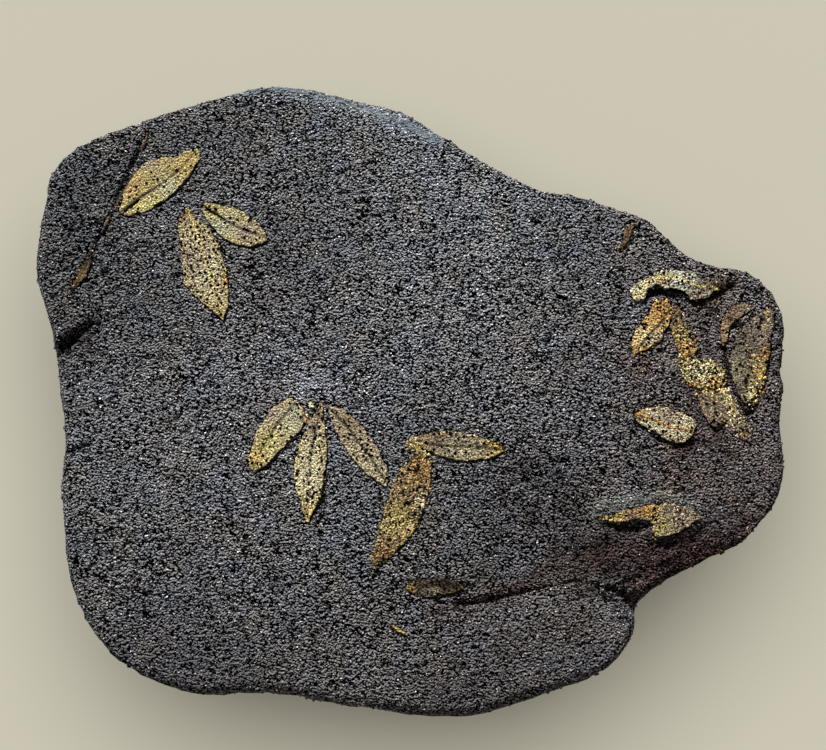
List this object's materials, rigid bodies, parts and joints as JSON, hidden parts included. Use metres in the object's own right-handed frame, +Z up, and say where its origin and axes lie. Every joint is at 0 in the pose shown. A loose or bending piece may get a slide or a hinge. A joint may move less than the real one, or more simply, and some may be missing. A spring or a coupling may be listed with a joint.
{
  "type": "fossil olive leaves in volcanic ash slab",
  "caption": "Broken slab of dark granular volcanic ash, lying on its back, with thin golden-beige fossil olive leaves and twig bits bedded in its upper face.",
  "frame": {"origin": "middle of the flat base that the slab rests on", "axes": "+X along the slab's length, towards the end with the cluster of overlapping leaves; +Y across the slab, towards its rounded edge with the chipped bevel; +Z up out of the leaf-bearing face"},
  "size_m": [0.2292, 0.196, 0.0577],
  "materials": {
    "ash": "rough granular volcanic ash, dark grey with black pits and pale grains",
    "pale_leaf": "matt pale golden leaf film with black specks",
    "golden_leaf": "matt golden-yellow leaf film, orange along veins and edges",
    "brown_leaf": "matt golden-brown to grey-brown leaf film, gritty with ash",
    "twig": "matt dark brown carbonised twig with a tan edge"
  },
  "bodies": {
    "root": {"ash_matrix": "ash", "leaf_top_left": "golden_leaf", "leaf_upper_short": "golden_leaf", "leaf_upper_long": "pale_leaf", "leaf_trio_left": "golden_leaf", "leaf_trio_middle": "pale_leaf", "leaf_trio_right": "pale_leaf", "leaf_middle_level": "pale_leaf", "leaf_middle_broad": "brown_leaf", "leaf_in_crease": "brown_leaf", "leaf_curled": "pale_leaf", "leaf_gold": "golden_leaf", "leaf_bronze": "brown_leaf", "leaf_gritty": "pale_leaf", "leaf_grey_brown": "brown_leaf", "leaf_end_scrap": "brown_leaf", "leaf_arc": "brown_leaf", "leaf_far_right": "brown_leaf", "leaf_ribbed": "pale_leaf", "leaf_broken": "pale_leaf", "leaf_sliver_low": "golden_leaf", "leaf_sliver_high": "golden_leaf", "leaf_bud": "pale_leaf", "twig_upper": "twig", "twig_middle": "twig", "twig_lower": "twig"}
  },
  "joints": []
}
